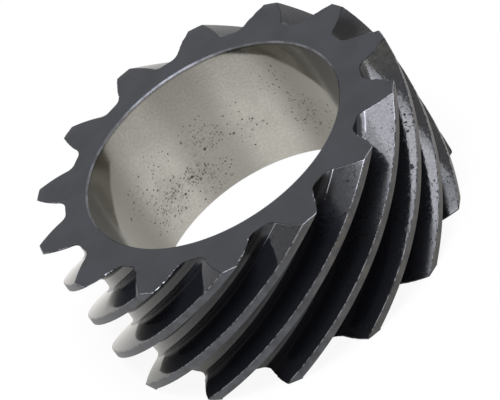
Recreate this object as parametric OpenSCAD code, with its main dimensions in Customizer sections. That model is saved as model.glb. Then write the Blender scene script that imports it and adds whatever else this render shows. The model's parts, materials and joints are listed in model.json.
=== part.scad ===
// Crankshaft gear: a plain steel ring with steep right-hand helical teeth.
// It stands on its rear face, with the bore axis along +Z and the front face on top.

/* [Blank] */
// Diameter over the tooth tips
tip_d = 60; // [56:0.5:64]
// Width from the rear face to the front face
gear_w = 23.8; // [16:0.2:32]
// Diameter of the bore
bore_d = 42; // [36:0.5:44]
// Chamfer on the bore at the front face
front_bore_chamfer = 0.25; // [0.1:0.05:1]
// Chamfer on the bore at the rear face
rear_bore_chamfer = 0.15; // [0.1:0.05:1]
// Edge break on the tooth tips at the front face
front_tip_break = 0.15; // [0.05:0.05:0.5]
// Turned chamfer on the tooth tips at the rear face
rear_tip_chamfer = 0.3; // [0.1:0.05:1]

/* [Teeth] */
// Number of teeth
teeth = 14; // [12:1:16]
// Depth of the gaps between the teeth, from tip to root
tooth_depth = 5.2; // [4:0.1:5.6]
// Helix angle on the pitch circle, right hand
helix_angle = 58.3; // [50:0.1:62]
// Pressure angle, in the plane square to a tooth
pressure_angle = 17.5; // [14.5:0.5:20]
// Width of a tooth's tip, measured round the gear
tip_land = 2.5; // [2:0.1:3.4]
// Radius of the fillets at the foot of the teeth
root_fillet = 1.6; // [0.6:0.1:1.8]

/* [Hidden] */

$fn = 96;
// Straight steps along a flank, round a fillet and along the helix
flank_steps = 3;
fillet_steps = 3;
helix_steps = 24;
// How far a gap's cutter passes the end faces and the tooth tips
end_run_out = 1;
flank_run_out = 0.6;
cutter_back = 2;

degrees_per_radian = 180 / PI;
bore_r = bore_d / 2;
tip_r = tip_d / 2;
root_r = tip_r - tooth_depth;
pitch_r = tip_r - tooth_depth / 2;

// Angles between neighbouring teeth and across a tip, from their middle to their edge
half_pitch = 180 / teeth;
tip_half_angle = tip_land / tip_d * degrees_per_radian;

// The flanks are involutes of this circle, seen along the axis
face_pressure_angle = atan(tan(pressure_angle) / cos(helix_angle));
base_r = pitch_r * cos(face_pressure_angle);

// The helix, as degrees turned for each millimetre along the axis
turn_per_mm = tan(helix_angle) / pitch_r * degrees_per_radian;
cutter_l = gear_w + 2 * end_run_out;

// Fillet arcs touch the root circle and the flank, which are both offset by the fillet radius
fillet_centre_r = root_r + root_fillet;
fillet_roll = sqrt(max(fillet_centre_r ^ 2 - base_r ^ 2, root_fillet ^ 2));
flank_foot_r = norm([base_r, fillet_roll - root_fillet]);
fillet_centre_angle = max(0.2,
    gap_half_angle(fillet_centre_r) - root_fillet / base_r * degrees_per_radian);

// Angle that the involute has gained at radius r since it left the base circle
function involute_angle(r) =
    let (a = acos(min(1, base_r / r)))
    tan(a) * degrees_per_radian - a;

// Angle from the middle of a gap to its flank at radius r
function gap_half_angle(r) =
    half_pitch - tip_half_angle - involute_angle(tip_r) + involute_angle(r);

function polar(r, a) = [r * cos(a), r * sin(a)];

// One side of a gap: the cutter's back corner, the flank from the top down, and the root fillet
function gap_side() =
    let (
        flank_top_r = tip_r + flank_run_out,
        back = polar(tip_r + cutter_back, gap_half_angle(flank_top_r)),
        flank = [
            for (i = [0:flank_steps])
                let (r = flank_top_r + (flank_foot_r - flank_top_r) * i / flank_steps)
                polar(r, gap_half_angle(r))
        ],
        centre = polar(fillet_centre_r, fillet_centre_angle),
        foot = flank[flank_steps] - centre,
        start_angle = atan2(foot[1], foot[0]),
        end_angle = 180 + fillet_centre_angle,
        fillet = [
            for (i = [1:fillet_steps])
                centre + polar(root_fillet, start_angle + (end_angle - start_angle) * i / fillet_steps)
        ]
    )
    concat([back], flank, fillet);

// The space between two teeth, seen along the axis and centred on +X
function gap_outline() =
    let (
        side = gap_side(),
        last = len(side) - 1
    )
    concat(side, [for (i = [last:-1:0]) [side[i][0], -side[i][1]]]);

// The hobbed gap, turned so that a tooth stands on +X at the front face
module tooth_gap() {
    outline = gap_outline();
    start_turn = half_pitch - turn_per_mm * (gear_w + end_run_out);
    total_turn = turn_per_mm * cutter_l;
    translate([0, 0, -end_run_out])
        rotate(start_turn)
            linear_extrude(
                height = cutter_l, twist = -total_turn, slices = helix_steps, segments = len(outline)
            )
                polygon(outline);
}

// The turned ring before its teeth are cut
module blank() {
    rotate_extrude()
        polygon([
            [bore_r + rear_bore_chamfer, 0],
            [tip_r - rear_tip_chamfer, 0],
            [tip_r, rear_tip_chamfer],
            [tip_r, gear_w - front_tip_break],
            [tip_r - front_tip_break, gear_w],
            [bore_r + front_bore_chamfer, gear_w],
            [bore_r, gear_w - front_bore_chamfer],
            [bore_r, rear_bore_chamfer]
        ]);
}

module crankshaft_gear() {
    color("#4b4d52")
        difference() {
            blank();
            for (i = [0:teeth - 1])
                rotate(i * 360 / teeth)
                    tooth_gap();
        }
}

crankshaft_gear();
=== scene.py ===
import json
from math import cos, pi, radians, sin, tan

import bpy
import numpy as np
from mathutils import Matrix, Vector


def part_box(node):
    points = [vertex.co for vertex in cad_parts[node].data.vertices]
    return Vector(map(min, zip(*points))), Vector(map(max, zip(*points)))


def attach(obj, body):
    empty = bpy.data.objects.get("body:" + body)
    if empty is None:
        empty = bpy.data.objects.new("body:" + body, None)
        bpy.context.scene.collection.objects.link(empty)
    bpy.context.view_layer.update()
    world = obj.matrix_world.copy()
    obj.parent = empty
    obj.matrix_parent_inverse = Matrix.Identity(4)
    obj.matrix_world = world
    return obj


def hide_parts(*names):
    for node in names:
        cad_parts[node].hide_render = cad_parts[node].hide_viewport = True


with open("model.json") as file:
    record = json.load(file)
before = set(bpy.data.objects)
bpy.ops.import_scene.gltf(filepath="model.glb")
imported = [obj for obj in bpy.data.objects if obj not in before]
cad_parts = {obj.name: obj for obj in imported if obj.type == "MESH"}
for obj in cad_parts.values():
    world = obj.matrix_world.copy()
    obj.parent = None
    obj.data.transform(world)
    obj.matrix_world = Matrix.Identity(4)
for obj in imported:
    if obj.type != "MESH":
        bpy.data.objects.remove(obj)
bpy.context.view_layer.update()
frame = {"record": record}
mm = 0.001


# small helpers

def linearColour(hexCode):
    # an sRGB hex value, such as #4a4c52, as linear red, green, blue and alpha, by the sRGB standard's curve
    srgb = np.array([int(hexCode[i:i + 2], 16) for i in (1, 3, 5)]) / 255
    linear = np.where(srgb <= 0.04045, srgb / 12.92, ((srgb + 0.055) / 1.055) ** 2.4)
    return (*linear.tolist(), 1.0)


def addNode(tree, kind, inputs=(), output=0, **settings):
    # One shader node with its settings. Its inputs, in a list by place or in a dictionary by name or place,
    # are set to a value or linked to another node's output. Gives back one of its outputs, or all for None.
    node = tree.nodes.new("ShaderNode" + kind)
    for name, value in settings.items():
        setattr(node, name, value)
    pairs = inputs.items() if isinstance(inputs, dict) else enumerate(inputs)
    for name, value in pairs:
        if isinstance(value, bpy.types.NodeSocket):
            tree.links.new(value, node.inputs[name])
        else:
            node.inputs[name].default_value = value
    return node.outputs if output is None else node.outputs[output]


# a MapRange that eases in and out; its inputs are value, from low, from high, to low and to high
softStep = {"interpolation_type": "SMOOTHSTEP"}
# a Mix of two colours, with the factor as input 0 and the colours as inputs 6 and 7
colourMix = {"output": 2, "data_type": "RGBA"}
# levels of a cloud pattern that are spread out: a wide pair, and a close pair for more contrast
wideLevels = (0.3, 0.7)
closeLevels = (0.35, 0.65)


def newMaterial(name):
    material = bpy.data.materials.new(name)
    material.use_nodes = True
    material.node_tree.nodes.clear()
    return material, material.node_tree


def millimetres(tree):
    # object coordinates counted in millimetres
    here = addNode(tree, "TexCoord", output="Object")
    return addNode(tree, "VectorMath", {0: here, "Scale": 1 / mm}, operation="SCALE")


def cloudPattern(tree, place, sizeMm, detail=3.0, roughness=0.55, stretch=(1, 1, 1)):
    # cloudy noise whose blotches are about sizeMm across, on coordinates in millimetres
    mapped = addNode(tree, "Mapping", {"Vector": place, "Scale": stretch})
    return addNode(tree, "TexNoise", {
        "Vector": mapped, "Scale": 1 / sizeMm, "Detail": detail, "Roughness": roughness}, "Fac")


def pitPattern(tree, place, cellMm, density, size):
    # Round pits on a flat map in mm, one at most in each cell of about cellMm: 0 outside, and up to 1 inside.
    # density is the share of cells that have a pit, and size the largest radius as a share of a cell.
    smallest, faintest = 0.35, 0.4       # as shares of the largest and of the strongest
    inside, outside = -0.08, 0.06        # where a pit's soft rim begins and ends, as shares of a cell
    cells = addNode(tree, "TexVoronoi", {"Vector": place, "Scale": 1 / cellMm}, None, voronoi_dimensions="2D")
    chance = addNode(tree, "SeparateColor", [cells["Color"]], None)
    present = addNode(tree, "Math", [density, chance[0]], operation="GREATER_THAN")
    radius = addNode(tree, "MapRange", [chance[1], 0, 1, smallest * size, size], **softStep)
    radius = addNode(tree, "Math", [present, radius], operation="MULTIPLY")
    fromRim = addNode(tree, "Math", [cells["Distance"], radius], operation="SUBTRACT")
    strength = addNode(tree, "MapRange", [chance[2], 0, 1, faintest, 1.0], **softStep)
    strength = addNode(tree, "Math", [present, strength], operation="MULTIPLY")
    cover = addNode(tree, "MapRange", [fromRim, inside, outside, 1.0, 0.0], **softStep)
    return addNode(tree, "Math", [strength, cover], operation="MULTIPLY")


def patchPattern(tree, place, patches, core):
    # The strongest of some round patches, each given by its middle, its reach in mm and its strength:
    # full as far out as core times the reach, and gone at the reach.
    strongest = 0.0
    for middle, reach, strength in patches:
        away = addNode(tree, "VectorMath", [place, middle], "Value", operation="DISTANCE")
        patch = addNode(tree, "MapRange", [away, core * reach, reach, strength, 0.0], **softStep)
        strongest = addNode(tree, "Math", [patch, strongest], operation="MAXIMUM")
    return strongest


# the gear: sizes from the frame and from its record, in millimetres and degrees

boreMount = next(m for m in frame["record"]["mounts"] if m["name"] == "bore")
low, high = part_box("crankshaft_gear")

gear = {
    "teeth": 14,
    "tipRadius": (high[0] - low[0]) / 2 / mm,
    "width": (high[2] - low[2]) / mm,
    "boreRadius": boreMount["dims"]["r_mm"],
    "depth": 5.2,                # tip to root
    "helixAngle": 58.3,          # on the pitch circle, right hand
    "pressureAngle": 17.5,       # square to a tooth
    "tipLand": 2.5,              # round the gear
    "rootFillet": 1.6,
    "frontChamfer": 0.25,
    "rearChamfer": 0.15,
    "tipRound": 0.13,            # worn corner between a flank and the tip
    "tipRoundWear": 0.55,        # how bare that corner is
    "ledge": 0.1,                # width of the ledge that shaving left where the flank stops above the fillet
    "ledgeRise": 0.04,           # its height above the flank's foot
    "ledgeRun": 5.0,             # how far from the front face it runs out
    "ledgeTeeth": (-90, -15),    # it is on the teeth between these angles
    "ledgeWear": 0.95,           # how bare it is at the front
    # Broken edges: mm in from the outline, mm along the axis, and how bare they are worn. Upper flanks face
    # the front, and lower flanks the rear. Ragged is how far the two lengths vary, as a share.
    "frontEdge": {
        "root": (0.1, 0.06, 0.35), "upperFlank": (0.05, 0.04, 0.15),
        "lowerFlank": (0.3, 0.16, 0.53), "tip": (0.16, 0.12, 0.64), "ragged": 0.9},
    "rearEdge": {
        "root": (0.05, 0.06, 0.2), "upperFlank": (0.06, 0.26, 0.3),
        "lowerFlank": (0.06, 0.06, 0.2), "tip": (0.1, 0.25, 0.4), "ragged": 0.3},
    "edgeMiddle": (0.4, 0.2),    # how far down the front edge its middle lies, and its bulge, as shares
    "edgeBlend": 7,              # points over which one kind of edge passes into the next
    "wander": ((0.6, 3), (0.4, 9)),    # shares of fine and of coarse raggedness, and their spans in points
    "farRagged": 0.4,            # how ragged edges are on the +Y side, compared with the -Y side
    "faceRing": 0.6,             # depth below the roots at which the plain ring of a face begins
    "sharpAngle": 28,            # surfaces that meet at a larger angle have a sharp edge between them
    "steps": {
        "root": 4, "fillet": 7, "flank": 17, "tipRound": 5, "tip": 4,
        "face": 5, "helix": 60, "bore": 10},
    "seed": 7,
}
steps = gear["steps"]

# parts of the outline from a gap to a tip, and the gear's finishes, by number
rootPart, filletPart, ledgePart, flankPart, cornerPart, tipPart = range(6)
faceFinish, flankFinish, tipFinish, edgeFinish, boreFinish, chamferFinish = range(6)

pitchRadius = gear["tipRadius"] - gear["depth"] / 2
rootRadius = gear["tipRadius"] - gear["depth"]
halfPitch = pi / gear["teeth"]
turnPerMm = tan(radians(gear["helixAngle"])) / pitchRadius
facePressure = np.arctan(tan(radians(gear["pressureAngle"])) / cos(radians(gear["helixAngle"])))
baseRadius = pitchRadius * cos(facePressure)


def involute(radius):
    # angle that an involute of the base circle has gained at a radius: the tangent of its pressure angle,
    # less that angle
    pressure = np.arccos(baseRadius / radius)
    return np.tan(pressure) - pressure


def halfTooth(radius):
    # half the angle of a tooth at a radius: half the angle of its tip, and what the involute gains from
    # that radius to the tip
    return gear["tipLand"] / 2 / gear["tipRadius"] + involute(gear["tipRadius"]) - involute(radius)


def halfOutline(ledgeWidth):
    # One side of a tooth, from the middle of the gap to the middle of the tip, as complex points and parts.
    # The root is an arc, the fillet an arc tangent to root and flank, the flank an involute that steps back
    # from a small ledge at its foot, and the worn corner a quadratic curve from the flank to the tip circle.
    fillet, tipRadius = gear["rootFillet"], gear["tipRadius"]
    centreRadius = rootRadius + fillet
    ledgeTurn = -ledgeWidth / centreRadius
    roll = np.sqrt(centreRadius ** 2 - baseRadius ** 2) - fillet
    footRadius = np.hypot(baseRadius, roll)
    centreAngle = -halfTooth(centreRadius) - fillet / baseRadius + ledgeTurn

    rootAngle = np.linspace(-halfPitch, centreAngle, steps["root"], endpoint=False)
    root = rootRadius * np.exp(1j * rootAngle)

    centre = centreRadius * np.exp(1j * centreAngle)
    foot = footRadius * np.exp(1j * (-halfTooth(footRadius) + ledgeTurn))
    filletAngle = np.linspace(centreAngle + pi, np.angle(foot - centre), steps["fillet"], endpoint=False)
    filletArc = centre + fillet * np.exp(1j * filletAngle)

    ledgeRadius = np.array([footRadius, footRadius + gear["ledgeRise"]])
    ledge = ledgeRadius * np.exp(1j * (-halfTooth(ledgeRadius) + ledgeTurn))
    flankRadius = np.linspace(ledgeRadius[1] + gear["ledge"], tipRadius - gear["tipRound"], steps["flank"])
    flank = flankRadius * np.exp(-1j * halfTooth(flankRadius))

    sharpCorner = tipRadius * np.exp(-1j * halfTooth(tipRadius))
    tipStart = tipRadius * np.exp(1j * (-halfTooth(tipRadius) + gear["tipRound"] / tipRadius))
    share = np.linspace(0, 1, steps["tipRound"] + 1)[1:]
    corner = (1 - share) ** 2 * flank[-1] + 2 * share * (1 - share) * sharpCorner + share ** 2 * tipStart

    tipAngle = np.linspace(np.angle(tipStart), 0, steps["tip"] + 1)[1:]
    tip = tipRadius * np.exp(1j * tipAngle)

    parts = {
        rootPart: root, filletPart: filletArc, ledgePart: ledge,
        flankPart: flank, cornerPart: corner, tipPart: tip}
    number = np.concatenate([np.full(len(points), part) for part, points in parts.items()])
    return np.concatenate(list(parts.values())), number


def gearOutline(ledgeWidth):
    # All teeth seen along the axis, as complex points. Each tooth is its cw side and that side mirrored.
    # around is the distance in mm along the whole outline, and side tells the two flanks of a tooth apart.
    half, part = halfOutline(ledgeWidth)
    tooth = np.concatenate([half, np.conj(half[-2:0:-1])])
    part = np.concatenate([part, part[-2:0:-1]])
    side = np.where(np.arange(len(tooth)) < len(half), -1, 1)
    turn = np.exp(2j * pi * np.arange(gear["teeth"]) / gear["teeth"])
    points = (turn[:, None] * tooth[None]).ravel()
    around = np.concatenate([[0], np.cumsum(np.abs(np.diff(points)))])
    return points, np.tile(part, gear["teeth"]), np.tile(side, gear["teeth"]), around


def blurred(row, span):
    # a closed row of values, averaged over span neighbours
    kernel = np.hanning(span + 2)[1:-1]
    wrapped = np.concatenate([row[-span:], row, row[:span]])
    return np.convolve(wrapped, kernel / kernel.sum(), mode="same")[span:-span]


def smoothRandom(rng, count, span):
    # random values in 0..1 for a closed row of points, averaged over span neighbours and stretched out again
    # so that two standard deviations below and above the mean are 0 and 1
    soft = blurred(rng.random(count), span)
    return np.clip((soft - soft.mean()) / (4 * soft.std()) + 0.5, 0, 1)


def brokenEdge(edge, flat, part, side, rng):
    # At each point of the outline: how far the edge is broken in and along the axis, and how bare it is worn.
    # The table's values are blurred along the outline, and the two lengths vary raggedly round them.
    kinds = ("root", "upperFlank", "lowerFlank", "tip")
    kind = np.select([part <= filletPart, (part <= flankPart) & (side < 0), part <= flankPart], [0, 1, 2], 3)
    table = np.array([edge[k] for k in kinds])[kind]
    inset, drop, wear = (blurred(column, gear["edgeBlend"]) for column in table.T)
    wander = sum(share * smoothRandom(rng, len(part), span) for share, span in gear["wander"])
    ragged = np.where(flat.imag < 0, 1, gear["farRagged"]) * edge["ragged"]
    factor = 1 + ragged * (2 * wander - 1)
    return inset * factor, drop * factor, wear


def gearRings():
    # The gear's skin as rings of points, one after the other round its section and back to the start:
    # front face, broken edge, teeth, broken edge, rear face and bore. The whole outline turns with height,
    # by turnPerMm for each millimetre, so each ring is given by a flat outline and a height at each point.
    flat, part, side, around = gearOutline(gear["ledge"])
    plain = gearOutline(0)[0]
    first, last = np.radians(gear["ledgeTeeth"])
    near = (np.angle(flat) > first) & (np.angle(flat) < last)
    flat = np.where(near, flat, plain)
    width, bore = gear["width"], gear["boreRadius"]
    rng = np.random.default_rng(gear["seed"])
    tangent = np.roll(flat, -1) - np.roll(flat, 1)
    inward = 1j * tangent / np.abs(tangent)
    # directions spread evenly round the gear, from the middle of a gap
    ray = np.exp(2j * pi * (np.arange(len(flat)) / len(flat) - 0.5 / gear["teeth"]))
    rings = []                # points, heights, the kind of surface that follows, and how bare it is worn

    def add(points, height, kind, wear=0.0):
        # one more ring, with a single height or wear spread to all its points
        spread = np.zeros(len(points))
        rings.append((points, spread + height, kind, spread + wear))

    def turned(points, rise):
        # points turned about the axis as far as the helix turns over a rise
        return points * np.exp(1j * turnPerMm * rise)

    inset, drop, wear = brokenEdge(gear["frontEdge"], flat, part, side, rng)
    faceEdge = flat + inward * inset
    faceRing = ray * (rootRadius - gear["faceRing"])
    add(ray * (bore + gear["frontChamfer"]), width, "face")
    for share in np.linspace(0, 1, steps["face"]):
        add(faceRing + (faceEdge - faceRing) * share, width, "face" if share < 1 else "edge", wear)
    down, bulge = gear["edgeMiddle"]
    middle = (faceEdge + turned(flat, -drop)) / 2 - bulge * inward * inset
    add(turned(middle, down * drop), width - down * drop, "edge", wear)

    rearInset, rearRise, rearWear = brokenEdge(gear["rearEdge"], flat, part, side, rng)
    for share in np.linspace(0, 1, steps["helix"]):
        stepped = near * max(0, 1 - share * width / gear["ledgeRun"])
        height = (width - drop) * (1 - share) + rearRise * share
        add(plain + (flat - plain) * stepped, height, "teeth" if share < 1 else "edge", rearWear)
    rearFlat = turned(plain, rearRise) + inward * rearInset
    for share in np.linspace(0, 1, steps["face"]):
        add(rearFlat + (faceRing - rearFlat) * share, 0, "face")
    add(ray * (bore + gear["rearChamfer"]), 0, "chamfer")
    mouth = width - gear["frontChamfer"]
    for rise in np.linspace(gear["rearChamfer"], mouth, steps["bore"]):
        add(ray * bore, rise, "bore" if rise < mouth else "chamfer")
    return rings, part, side, around, near


def buildGear():
    # the rings as one closed mesh: each point turned by its height, and quads between neighbouring points
    rings, part, side, around, near = gearRings()
    flat, height, kind, wear = (np.stack(values) for values in zip(*rings))
    place = flat * np.exp(1j * turnPerMm * (height - gear["width"]))
    points = np.stack([place.real, place.imag, height], axis=-1) * mm
    rows, columns = flat.shape

    # quads between each ring and the next, and between each column and the next, both closed
    row, column = np.meshgrid(np.arange(rows), np.arange(columns), indexing="ij")
    here, below = row * columns, (row + 1) % rows * columns
    beside = (column + 1) % columns
    quads = np.stack([here + column, below + column, below + beside, here + beside], -1).reshape(-1, 4)

    mesh = bpy.data.meshes.new("crankshaftGear")
    mesh.vertices.add(rows * columns)
    mesh.vertices.foreach_set("co", points.ravel())
    mesh.loops.add(quads.size)
    mesh.loops.foreach_set("vertex_index", quads.ravel().astype(np.int32))
    mesh.polygons.add(len(quads))
    mesh.polygons.foreach_set("loop_start", np.arange(0, quads.size, 4, dtype=np.int32))
    mesh.polygons.foreach_set("loop_total", np.full(len(quads), 4, dtype=np.int32))

    # which finish each quad has: the teeth are split into flanks, tips, and worn ledges and corners
    kind = kind[:, None]
    nextPart = np.roll(part, -1)
    onTeeth = kind == "teeth"
    onTip = (part >= cornerPart) & (nextPart >= cornerPart)
    onLedge = (part == ledgePart) & (nextPart == flankPart)
    onCorner = (nextPart == cornerPart) & (side < 0)
    ledgeWear = gear["ledgeWear"] * near - (gear["width"] - height) / gear["ledgeRun"]
    worn = (kind == "edge") | (onTeeth & (onCorner | (onLedge & (ledgeWear > 0))))
    finish = np.select(
        [kind == "face", worn, onTeeth & onTip, kind == "bore", kind == "chamfer"],
        [faceFinish, edgeFinish, tipFinish, boreFinish, chamferFinish], flankFinish)
    mesh.polygons.foreach_set("material_index", np.broadcast_to(finish, row.shape).ravel().astype(np.int32))

    # where a point lies on the teeth: around the outline and along the helix, in mm, and 1 at the unshaved
    # roots or -1 on the flanks that face the rear
    along = height / cos(radians(gear["helixAngle"]))
    zone = np.select([part <= filletPart, (part <= flankPart) & (side > 0)], [1, -1], 0)
    toothPlace = np.stack(np.broadcast_arrays(around, along, zone), -1)
    attribute = mesh.attributes.new("toothPlace", "FLOAT_VECTOR", "POINT")
    attribute.data.foreach_set("vector", toothPlace.astype(np.float32).ravel())

    # how bare each point is worn
    frontward = onTeeth & (side < 0)
    wear = np.where(frontward & (part == cornerPart), gear["tipRoundWear"], wear)
    wear = np.where(frontward & ((part == ledgePart) | (part == flankPart)), ledgeWear, wear)
    attribute = mesh.attributes.new("wear", "FLOAT", "POINT")
    attribute.data.foreach_set("value", wear.astype(np.float32).ravel())

    mesh.update()
    mesh.validate()
    mesh.shade_smooth()
    mesh.set_sharp_from_angle(angle=radians(gear["sharpAngle"]))
    piece = bpy.data.objects.new("crankshaftGear", mesh)
    bpy.context.scene.collection.objects.link(piece)
    print("gear built:", rows, "rings of", columns, "points,", 2 * len(quads), "triangles")
    return piece


# finishes

def blackOxideFace():
    # black oxide on turned steel: a dark blue-grey skin, nearly matt, with faint clouds and a fine grain
    look = {
        "dark": "#0c0f16", "light": "#1c1f26", "cloudMm": 5.0,
        "grainMm": 0.35,                       # coarser than the real grain, so that it shows
        "contrast": (0.38, 0.6),               # levels of the pattern that are all dark and all light
        "roughness": (0.42, 0.58), "grainDepthMm": 0.03, "grainStrength": 0.5}
    dark, light = linearColour(look["dark"]), linearColour(look["light"])
    material, tree = newMaterial("blackOxideFace")
    place = millimetres(tree)
    clouds = cloudPattern(tree, place, look["cloudMm"])
    grain = cloudPattern(tree, place, look["grainMm"], detail=2.0)
    mixed = addNode(tree, "Mix", {0: 0.5, 2: clouds, 3: grain})
    lightness = addNode(tree, "MapRange", [mixed, *look["contrast"]], **softStep)
    colour = addNode(tree, "Mix", {0: lightness, 6: dark, 7: light}, **colourMix)
    roughness = addNode(tree, "MapRange", [grain, *wideLevels, *look["roughness"]], **softStep)
    bump = addNode(tree, "Bump", {
        "Height": grain, "Strength": look["grainStrength"], "Distance": look["grainDepthMm"] * mm})
    shader = addNode(tree, "BsdfPrincipled", {"Base Color": colour, "Roughness": roughness, "Normal": bump})
    addNode(tree, "OutputMaterial", [shader], None)
    return material


def blackOxideFlank():
    # Black oxide on hobbed and shaved flanks: glossy, near black in shade, and duller in the unshaved roots.
    # On the +X side it is a little wavy, which breaks up the edges of the reflections, and soiled: dark pits
    # and dirt, and olive stains in the middle of that side. On the -X side the flanks that face the rear
    # reflect less, as painted shade. Here and there are patches that are darker and duller, and patches that
    # are dull.
    look = {
        "oxide": "#1a1b20", "stain": "#35332d", "pit": "#0c0b0b",
        "soiledX": (-6, 8),                    # mm between which the soiled side begins
        "soiledY": (6, 10),                    # and between which it ends
        # mm between which the painted shade on the rear-facing flanks of the -X side fades out
        "rearShadeX": (-18, -8),
        "patchMm": 4.0,                        # size of the patches in which marks are thicker
        "pitMm": 2.2, "pitSize": 0.11, "pitShare": (0.2, 0.6),
        "speckMm": 0.6, "speckSize": 0.2, "speckShare": (0.03, 0.3),
        "dirtMm": 0.6, "dirtLevels": (0.55, 0.63), "dirtyLevels": (0.42, 0.62), "dirtShare": (0.0, 0.9),
        "stainMm": 0.8, "stainLevels": (0.3, 0.65), "stainY": 1, "stainReach": (4, 9),
        "waveMm": 0.5, "waveDepthMm": 0.011,
        "waveStrength": (0.2, 1.0),            # clean and soiled
        "roughness": (0.06, 0.11), "roughLevels": (0.35, 0.7), "rootRoughness": 0.15, "markRoughness": 0.4,
        "gloss": (0.5, 0.15),                  # clean and in marks
        "mottleMm": 0.35, "mottleGloss": (1.15, 0.87),
        "rearShadeGloss": (1.0, 0.1),               # unshaded and in painted shade
        # patches: middle, reach in mm and strength, and the share of the reach where they are full
        "dull": (((13, -23, 19), 9.0, 0.2), ((18, -22, 2), 6.0, 0.12)), "dullCore": 0.45,
        # darker, duller patches at given places
        "darkPatches": (
            ((9.8, -22.4, 22.6), 3.6, 0.9), ((-2.4, -24.2, 22.3), 3.2, 0.8),
            ((-24, -12, 20), 5.0, 0.4), ((26, -13, 1.5), 4.0, 0.35), ((25, 8, 22), 4.5, 0.7)),
        "darkPatchCore": 0.4,
    }
    oxide, stain, pit = (linearColour(look[name]) for name in ("oxide", "stain", "pit"))
    material, tree = newMaterial("blackOxideFlank")
    place = millimetres(tree)
    x, y = addNode(tree, "SeparateXYZ", [place], None)[:2]
    tooth = addNode(tree, "Attribute", output="Vector", attribute_name="toothPlace")
    zone = addNode(tree, "SeparateXYZ", [tooth], "Z")
    unshaved = addNode(tree, "MapRange", [zone, 0, 1], **softStep)
    rearward = addNode(tree, "MapRange", [zone, -1, 0, 1.0, 0.0], **softStep)
    # the flanks that face the rear on the -X side get less reflection, as painted shade
    rearShadeSide = addNode(tree, "MapRange", [x, *look["rearShadeX"], 1.0, 0.0], **softStep)
    rearShade = addNode(tree, "Math", [rearward, rearShadeSide], operation="MULTIPLY")
    soiledSide = addNode(tree, "MapRange", [x, *look["soiledX"]], **softStep)
    soiledPart = addNode(tree, "MapRange", [y, *look["soiledY"], 1.0, 0.0], **softStep)
    soiled = addNode(tree, "Math", [soiledSide, soiledPart], operation="MULTIPLY")

    # pits, dirt and darker patches
    patches = cloudPattern(tree, place, look["patchMm"])
    pitted = addNode(tree, "MapRange", [patches, *closeLevels, *look["pitShare"]], **softStep)
    specked = addNode(tree, "MapRange", [patches, *closeLevels, *look["speckShare"]], **softStep)
    pits = pitPattern(tree, tooth, look["pitMm"], pitted, look["pitSize"])
    specks = pitPattern(tree, tooth, look["speckMm"], specked, look["speckSize"])
    pits = addNode(tree, "Math", [pits, specks], operation="MAXIMUM")
    dirt = cloudPattern(tree, place, look["dirtMm"], detail=4.0, roughness=0.6)
    dirt = addNode(tree, "MapRange", [dirt, *look["dirtLevels"]], **softStep)
    dirty = addNode(tree, "MapRange", [patches, *look["dirtyLevels"], *look["dirtShare"]], **softStep)
    dirt = addNode(tree, "Math", [dirt, dirty], operation="MULTIPLY")
    marks = addNode(tree, "Math", [pits, dirt], operation="MAXIMUM")
    marks = addNode(tree, "Math", [soiled, marks], operation="MULTIPLY")
    darkPatches = patchPattern(tree, place, look["darkPatches"], look["darkPatchCore"])
    marks = addNode(tree, "Math", [marks, darkPatches], operation="MAXIMUM")

    # olive stains
    stains = cloudPattern(tree, place, look["stainMm"], detail=5.0, roughness=0.65)
    fromStain = addNode(tree, "Math", [y, look["stainY"]], operation="SUBTRACT")
    fromStain = addNode(tree, "Math", [fromStain], operation="ABSOLUTE")
    stainPart = addNode(tree, "MapRange", [fromStain, *look["stainReach"], 1.0, 0.0], **softStep)
    stained = addNode(tree, "MapRange", [stains, *look["stainLevels"]], **softStep)
    stained = addNode(tree, "Math", [stainPart, stained], operation="MULTIPLY")
    stained = addNode(tree, "Math", [stained, soiled], operation="MULTIPLY")
    colour = addNode(tree, "Mix", {0: stained, 6: oxide, 7: stain}, **colourMix)
    colour = addNode(tree, "Mix", {0: marks, 6: colour, 7: pit}, **colourMix)

    # waves
    waves = cloudPattern(tree, place, look["waveMm"])
    wavy = addNode(tree, "MapRange", [soiled, 0, 1, *look["waveStrength"]], **softStep)
    bump = addNode(tree, "Bump", {"Height": waves, "Strength": wavy, "Distance": look["waveDepthMm"] * mm})

    # roughness
    markDull = addNode(tree, "Math", [marks, look["markRoughness"]], operation="MULTIPLY")
    rootDull = addNode(tree, "Math", [unshaved, look["rootRoughness"]], operation="MULTIPLY")
    patchDull = patchPattern(tree, place, look["dull"], look["dullCore"])
    dull = addNode(tree, "Math", [markDull, rootDull], operation="MAXIMUM")
    dull = addNode(tree, "Math", [dull, patchDull], operation="MAXIMUM")
    roughness = addNode(tree, "MapRange", [stains, *look["roughLevels"], *look["roughness"]], **softStep)
    roughness = addNode(tree, "Math", [roughness, dull], operation="ADD")

    # gloss
    mottle = cloudPattern(tree, place, look["mottleMm"])
    mottle = addNode(tree, "MapRange", [mottle, *wideLevels, *look["mottleGloss"]], **softStep)
    gloss = addNode(tree, "MapRange", [marks, 0, 1, *look["gloss"]], **softStep)
    gloss = addNode(tree, "Math", [gloss, mottle], operation="MULTIPLY")
    # less reflection on the rear-facing flanks of the -X side, as painted shade
    rearShadeGloss = addNode(tree, "MapRange", [rearShade, 0, 1, *look["rearShadeGloss"]], **softStep)
    gloss = addNode(tree, "Math", [gloss, rearShadeGloss], operation="MULTIPLY")
    shader = addNode(tree, "BsdfPrincipled", {
        "Base Color": colour, "Roughness": roughness, "Normal": bump, "Specular IOR Level": gloss})
    addNode(tree, "OutputMaterial", [shader], None)
    return material


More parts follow.
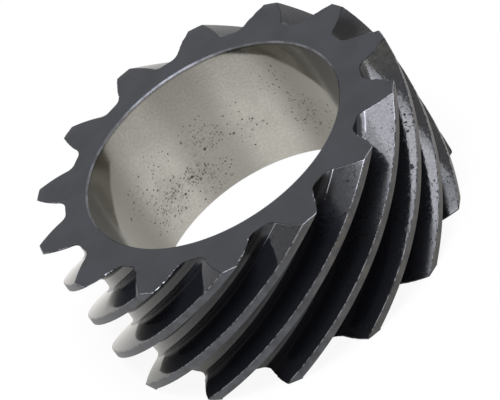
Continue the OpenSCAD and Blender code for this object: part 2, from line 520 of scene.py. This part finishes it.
def turnedTip():
    # turned tips: the oxide is thinner and greyer here, browner on the +X side, with fine scratches along
    # the teeth
    look = {
        "dark": "#37373a", "cool": "#52565c", "warm": "#56534d", "warmX": (-8, 10), "cloudMm": 1.6,
        "contrast": (0.38, 0.62),              # levels of the pattern that are all dark and all light
        "scratchMm": 0.18,                     # coarser than real scratches, so that they show
        "scratchStretch": (1, 0.02, 1), "scratchDepthMm": 0.02, "scratchStrength": 0.25,
        "roughness": (0.36, 0.5), "metallic": 0.2}
    dark, cool, warm = (linearColour(look[name]) for name in ("dark", "cool", "warm"))
    material, tree = newMaterial("turnedTip")
    place = millimetres(tree)
    tooth = addNode(tree, "Attribute", output="Vector", attribute_name="toothPlace")
    clouds = cloudPattern(tree, place, look["cloudMm"], detail=4.0)
    scratches = cloudPattern(
        tree, tooth, look["scratchMm"], detail=2.0, roughness=0.6, stretch=look["scratchStretch"])
    mixed = addNode(tree, "Mix", {0: 0.5, 2: clouds, 3: scratches})
    x = addNode(tree, "SeparateXYZ", [place], "X")
    warmth = addNode(tree, "MapRange", [x, *look["warmX"]], **softStep)
    light = addNode(tree, "Mix", {0: warmth, 6: cool, 7: warm}, **colourMix)
    lightness = addNode(tree, "MapRange", [mixed, *look["contrast"]], **softStep)
    colour = addNode(tree, "Mix", {0: lightness, 6: dark, 7: light}, **colourMix)
    roughness = addNode(tree, "MapRange", [mixed, *closeLevels, *look["roughness"]], **softStep)
    bump = addNode(tree, "Bump", {
        "Height": scratches, "Strength": look["scratchStrength"], "Distance": look["scratchDepthMm"] * mm})
    shader = addNode(tree, "BsdfPrincipled", {
        "Base Color": colour, "Metallic": look["metallic"], "Roughness": roughness, "Normal": bump})
    addNode(tree, "OutputMaterial", [shader], None)
    return material


def wornEdge():
    # broken edges: bare steel where the oxide was rubbed off, and dull black in the chips between
    look = {
        "steel": "#85868a", "oxide": "#151517", "patchMm": 0.6,
        "bareLevels": (0.95, 1.12),            # pattern plus wear where steel begins to show, and is bare
        "roughness": 0.32, "gloss": 0.2}
    steel, oxide = linearColour(look["steel"]), linearColour(look["oxide"])
    material, tree = newMaterial("wornSteelEdge")
    wear = addNode(tree, "Attribute", output="Fac", attribute_name="wear")
    patches = cloudPattern(tree, millimetres(tree), look["patchMm"], detail=5.0, roughness=0.7)
    level = addNode(tree, "Math", [patches, wear], operation="ADD")
    bare = addNode(tree, "MapRange", [level, *look["bareLevels"]], **softStep)
    colour = addNode(tree, "Mix", {0: bare, 6: oxide, 7: steel}, **colourMix)
    shader = addNode(tree, "BsdfPrincipled", {
        "Base Color": colour, "Metallic": bare, "Roughness": look["roughness"],
        "Specular IOR Level": look["gloss"]})
    addNode(tree, "OutputMaterial", [shader], None)
    return material


def turnedChamfer():
    # the bore's chamfers: turned steel, a little oxidised, so a dull bright line round the bore
    look = {
        "steel": "#717277", "dull": "#56575b", "patchMm": 2.5,
        "contrast": (0.38, 0.6),               # levels of the pattern that are all steel and all dull
        "metallic": 0.9, "roughness": 0.3}
    steel, dull = linearColour(look["steel"]), linearColour(look["dull"])
    material, tree = newMaterial("turnedSteelChamfer")
    patches = cloudPattern(tree, millimetres(tree), look["patchMm"], detail=4.0)
    dullness = addNode(tree, "MapRange", [patches, *look["contrast"]], **softStep)
    colour = addNode(tree, "Mix", {0: dullness, 6: steel, 7: dull}, **colourMix)
    shader = addNode(tree, "BsdfPrincipled", {
        "Base Color": colour, "Metallic": look["metallic"], "Roughness": look["roughness"]})
    addNode(tree, "OutputMaterial", [shader], None)
    return material


def groundBore():
    # ground steel: a light grey with soft mirror reflections, painted reflections as lighter bands along the
    # bore, painted shade that darkens the sides away from them, and many small dark rust pits
    look = {
        # steel is the colour of the painted reflection bands and dull the colour near the middle; side and
        # far are painted shade further round, and far also tints the darkening towards the mouth, the painted
        # shadow line and the stains
        "steel": "#b7b5b0", "dull": "#999792", "side": "#85837d", "far": "#64635f", "pit": "#413d36",
        # degrees round the bore: two painted reflection bands apart from the middle, and where the painted
        # shade on the sides deepens and eases again
        "middle": 93, "apart": 25, "halfWidth": 12, "soft": 7,
        "sideways": (36, 50), "farSide": (62, 72), "backSide": (84, 120), "backShade": 0.25,
        "cloudMm": 5.0, "cloudLevels": (0.3, 0.6), "bandClouds": (0.7, 1.0),
        # where pits lie: angle round the bore, height above the rear face, reach in mm, and density
        "clusters": (
            (105.5, 6.3, 3.5, 1.0), (122, 6.5, 7.0, 0.7), (94, 10.8, 6.0, 0.5), (119, 13.5, 5.0, 0.22),
            (100, 4.0, 5.5, 0.5), (45, 9.0, 6.5, 0.5), (53, 15.5, 5.0, 0.35), (134, 12.0, 6.0, 0.25),
            (76, 9.0, 6.0, 0.3)),
        "unevenMm": 1.6, "unevenShare": (0.4, 1.3),
        "speckMm": 0.5, "speckSize": 0.34, "pitMm": 1.3, "pitSize": 0.22,
        "pitShare": 0.75,                      # density of the large pits, as a share of that of the specks
        "smudgeMm": 0.7, "smudgeLevels": (0.45, 0.62), "smudge": (0.1, 0.6),
        "mouthFrom": 0.4, "mouthDarkening": 0.35,  # share of the width where the bore begins to darken towards the mouth
        "rimMm": (0.75, 0.45), "rimShadow": 0.8,    # a painted shadow line this far below the front face, under the chamfer
        "grainMm": 0.45, "grainStain": (0.0, 0.16),
        "lineMm": 0.12,                        # coarser than real grinding lines, so that they show
        "lineStretch": (0.08, 0.08, 1),
        "lineDepth": 0.1,                      # as a share of the depth of the pits
        "pitDepthMm": 0.03, "bumpStrength": 0.2,
        "pitOxide": 0.7, "farSideShade": 0.45,     # how far pits, and the far sides as painted shade, are from bare metal
        "roughness": (0.08, 0.55),             # in the middle and on the far sides
    }
    names = ("steel", "dull", "side", "far", "pit")
    steel, dull, side, far, pit = (linearColour(look[name]) for name in names)
    radius, width = gear["boreRadius"], gear["width"]
    material, tree = newMaterial("groundSteelBore")
    place = millimetres(tree)
    x, y, z = addNode(tree, "SeparateXYZ", [place], None)
    angle = addNode(tree, "Math", [y, x], operation="ARCTAN2")
    arc = addNode(tree, "Math", [angle, radius], operation="MULTIPLY")
    unrolled = addNode(tree, "CombineXYZ", [arc, z])

    # painted reflections as lighter bands, and painted shade on the sides
    fromMiddle = addNode(tree, "Math", [angle, radians(look["middle"])], operation="SUBTRACT")
    fromMiddle = addNode(tree, "Math", [fromMiddle], operation="ABSOLUTE")
    fromBand = addNode(tree, "Math", [fromMiddle, radians(look["apart"])], operation="SUBTRACT")
    fromBand = addNode(tree, "Math", [fromBand], operation="ABSOLUTE")
    bandEdge = radians(look["halfWidth"] - look["soft"]), radians(look["halfWidth"] + look["soft"])
    reflectionBands = addNode(tree, "MapRange", [fromBand, *bandEdge, 1.0, 0.0], **softStep)
    clouds = cloudPattern(tree, place, look["cloudMm"], detail=4.0)
    clouds = addNode(tree, "MapRange", [clouds, *look["cloudLevels"], *look["bandClouds"]], **softStep)
    reflectionBands = addNode(tree, "Math", [reflectionBands, clouds], operation="MULTIPLY")
    # the sides darken further round from the middle as painted shade, most on the far sides and less again at
    # the back
    sideways = addNode(tree, "MapRange", [fromMiddle, *map(radians, look["sideways"])], **softStep)
    farSide = addNode(tree, "MapRange", [fromMiddle, *map(radians, look["farSide"])], **softStep)
    backEdge = map(radians, look["backSide"])
    backSide = addNode(tree, "MapRange", [fromMiddle, *backEdge, 1.0, look["backShade"]], **softStep)
    farSide = addNode(tree, "Math", [farSide, backSide], operation="MULTIPLY")
    colour = addNode(tree, "Mix", {0: sideways, 6: dull, 7: side}, **colourMix)
    colour = addNode(tree, "Mix", {0: farSide, 6: colour, 7: far}, **colourMix)
    colour = addNode(tree, "Mix", {0: reflectionBands, 6: colour, 7: steel}, **colourMix)

    # pits, thicker in their clusters
    clusters = []
    for turn, height, reach, share in look["clusters"]:
        clusters.append(((radians(turn) * radius, height, 0), reach, share))
    thick = patchPattern(tree, unrolled, clusters, core=0.0)
    uneven = cloudPattern(tree, place, look["unevenMm"])
    uneven = addNode(tree, "MapRange", [uneven, *closeLevels, *look["unevenShare"]], **softStep)
    dense = addNode(tree, "Math", [thick, uneven], operation="MULTIPLY")
    fewer = addNode(tree, "Math", [dense, look["pitShare"]], operation="MULTIPLY")
    specks = pitPattern(tree, unrolled, look["speckMm"], dense, look["speckSize"])
    pits = pitPattern(tree, unrolled, look["pitMm"], fewer, look["pitSize"])
    pits = addNode(tree, "Math", [specks, pits], operation="MAXIMUM")

    # darker towards the mouth, a painted shadow line under the chamfer, stains round the pits, and a fine
    # grain
    mouthLow = look["mouthFrom"] * width
    mouth = addNode(tree, "MapRange", [z, mouthLow, width, 0.0, look["mouthDarkening"]], **softStep)
    rimLow, rimHigh = (width - below for below in look["rimMm"])
    # rim is a painted shadow line under the chamfer; from here on, mouth holds it together with the darkening
    # towards the mouth
    rim = addNode(tree, "MapRange", [z, rimLow, rimHigh, 0.0, look["rimShadow"]], **softStep)
    mouth = addNode(tree, "Math", [mouth, rim], operation="MAXIMUM")
    smudges = cloudPattern(tree, unrolled, look["smudgeMm"])
    smudges = addNode(tree, "MapRange", [smudges, *look["smudgeLevels"], *look["smudge"]], **softStep)
    smudges = addNode(tree, "Math", [dense, smudges], operation="MULTIPLY")
    # stained holds the darkening towards the mouth and the painted shadow line, as well as the stains round
    # the pits and the grain
    stained = addNode(tree, "Math", [mouth, smudges], operation="MAXIMUM")
    grain = cloudPattern(tree, unrolled, look["grainMm"], detail=4.0, roughness=0.6)
    grain = addNode(tree, "MapRange", [grain, *closeLevels, *look["grainStain"]], **softStep)
    stained = addNode(tree, "Math", [stained, grain], operation="ADD")
    colour = addNode(tree, "Mix", {0: stained, 6: colour, 7: far}, **colourMix)
    colour = addNode(tree, "Mix", {0: pits, 6: colour, 7: pit}, **colourMix)

    # grinding lines round the bore, and the depth of the pits
    lines = cloudPattern(
        tree, place, look["lineMm"], detail=2.0, roughness=0.5, stretch=look["lineStretch"])
    lines = addNode(tree, "Math", [lines, look["lineDepth"]], operation="MULTIPLY")
    height = addNode(tree, "Math", [lines, pits], operation="SUBTRACT")
    bump = addNode(tree, "Bump", {
        "Height": height, "Strength": look["bumpStrength"], "Distance": look["pitDepthMm"] * mm})

    # less metallic in the pits, and on the far sides as painted shade; the far sides are rougher too
    pitOxide = addNode(tree, "Math", [pits, look["pitOxide"]], operation="MULTIPLY")
    farSideShade = addNode(tree, "Math", [farSide, look["farSideShade"]], operation="MULTIPLY")
    oxide = addNode(tree, "Math", [pitOxide, farSideShade], operation="MAXIMUM")
    metallic = addNode(tree, "Math", [1.0, oxide], operation="SUBTRACT")
    roughness = addNode(tree, "MapRange", [farSide, 0, 1, *look["roughness"]], **softStep)
    shader = addNode(tree, "BsdfPrincipled", {
        "Base Color": colour, "Metallic": metallic, "Roughness": roughness, "Normal": bump})
    addNode(tree, "OutputMaterial", [shader], None)
    return material


gearPiece = buildGear()
for finish in (blackOxideFace, blackOxideFlank, turnedTip, wornEdge, groundBore, turnedChamfer):
    gearPiece.data.materials.append(finish())
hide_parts("crankshaft_gear")
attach(gearPiece, "root")
print("finishes made")


# stage: a white table and surround; size in metres, gap below the gear in mm

stage = {
    "size": 4.0, "gap": 0.02, "glow": 0.92, "bounce": "#e6e6e6", "mirrored": "#fffdf8", "white": "#ffffff",
    "ambient": 0.45}         # strength of the surround's scattered light, next to 1 where it is seen


def seenRay(tree):
    # 1 for rays that the eye follows straight, in a mirror or through glass, and 0 for scattered light
    path = addNode(tree, "LightPath", output=None)
    seen = addNode(tree, "Math", [path["Is Camera Ray"], path["Is Glossy Ray"]], operation="MAXIMUM")
    return addNode(tree, "Math", [seen, path["Is Transmission Ray"]], operation="MAXIMUM")


def whitePaper():
    # matt paper that glows where it is seen, so that it is white to the eye with only faint shadows, and a
    # little creamy in mirror reflections
    white, mirrored, bounce = (linearColour(stage[name]) for name in ("white", "mirrored", "bounce"))
    material, tree = newMaterial("whitePaper")
    direct = addNode(tree, "LightPath", output="Is Camera Ray")
    tint = addNode(tree, "Mix", {0: direct, 6: mirrored, 7: white}, **colourMix)
    glow = addNode(tree, "Emission", {"Color": tint, "Strength": stage["glow"]})
    shadowed = addNode(tree, "BsdfDiffuse", {"Color": (1 - stage["glow"],) * 3 + (1,)})
    shown = addNode(tree, "AddShader", [glow, shadowed])
    scatter = addNode(tree, "BsdfDiffuse", {"Color": bounce})
    shader = addNode(tree, "MixShader", [seenRay(tree), scatter, shown])
    addNode(tree, "OutputMaterial", [shader], None)
    return material


def buildFloor():
    half, level = stage["size"] / 2, -stage["gap"] * mm
    corners = [(-half, -half, level), (half, -half, level), (half, half, level), (-half, half, level)]
    mesh = bpy.data.meshes.new("tablePaper")
    mesh.from_pydata(corners, [], [(0, 1, 2, 3)])
    mesh.materials.append(whitePaper())
    floor = bpy.data.objects.new("tablePaper", mesh)
    bpy.context.scene.collection.objects.link(floor)


def buildSurround():
    world = bpy.data.worlds.new("studio")
    bpy.context.scene.world = world
    world.use_nodes = True
    tree = world.node_tree
    tree.nodes.clear()
    strength = addNode(tree, "MapRange", [seenRay(tree), 0, 1, stage["ambient"], 1.0])
    background = addNode(tree, "Background", {"Color": linearColour(stage["white"]), "Strength": strength})
    addNode(tree, "OutputWorld", [background], None)


# a wide overhead softbox, brighter in its middle; places and sizes in metres
lamps = {
    "softbox": {
        "from": (0.012, -0.13, 0.62), "size": (0.45, 0.36), "radiance": 5.4, "colour": "#f3f5ff"},
    "softboxMiddle": {
        "from": (0.043, -0.128, 0.61), "size": (0.25, 0.34), "radiance": 3.4, "colour": "#f3f5ff"},
}


def buildLamps():
    for name, lamp in lamps.items():
        data = bpy.data.lights.new(name, "AREA")
        data.shape = "RECTANGLE"
        data.size, data.size_y = lamp["size"]
        data.energy = lamp["radiance"] * pi * data.size * data.size_y
        data.color = linearColour(lamp["colour"])[:3]
        light = bpy.data.objects.new(name, data)
        light.location = lamp["from"]
        light.rotation_euler = (-Vector(lamp["from"])).to_track_quat("-Z", "Y").to_euler()
        bpy.context.scene.collection.objects.link(light)


# camera, as worked out from the gear's outline, in degrees and mm; it aims close to the bore axis, about
# half way down
view = {
    "azimuth": 2.063, "elevation": 35.731, "roll": 33.702, "distance": 434.25, "lens": 206.98, "sensor": 36,
    "aim": (0.05, 0, gear["width"] - 12.76), "clip": (10, 20000)}


def buildCamera():
    turn, lift = radians(view["azimuth"]), radians(view["elevation"])
    back = Vector((sin(turn) * cos(lift), -cos(turn) * cos(lift), sin(lift)))
    data = bpy.data.cameras.new("camera")
    data.sensor_width = view["sensor"]
    data.lens = view["lens"]
    data.clip_start, data.clip_end = (distance * mm for distance in view["clip"])
    camera = bpy.data.objects.new("camera", data)
    upright = (-back).to_track_quat("-Z", "Y").to_matrix().to_4x4()
    roll = Matrix.Rotation(radians(-view["roll"]), 4, "Z")
    place = Vector(view["aim"]) * mm + back * view["distance"] * mm
    camera.matrix_world = Matrix.Translation(place) @ upright @ roll
    bpy.context.scene.collection.objects.link(camera)
    bpy.context.scene.camera = camera


buildFloor()
buildSurround()
buildLamps()
buildCamera()
bpy.context.scene.view_settings.view_transform = "Standard"
print("stage, lamps and camera placed")
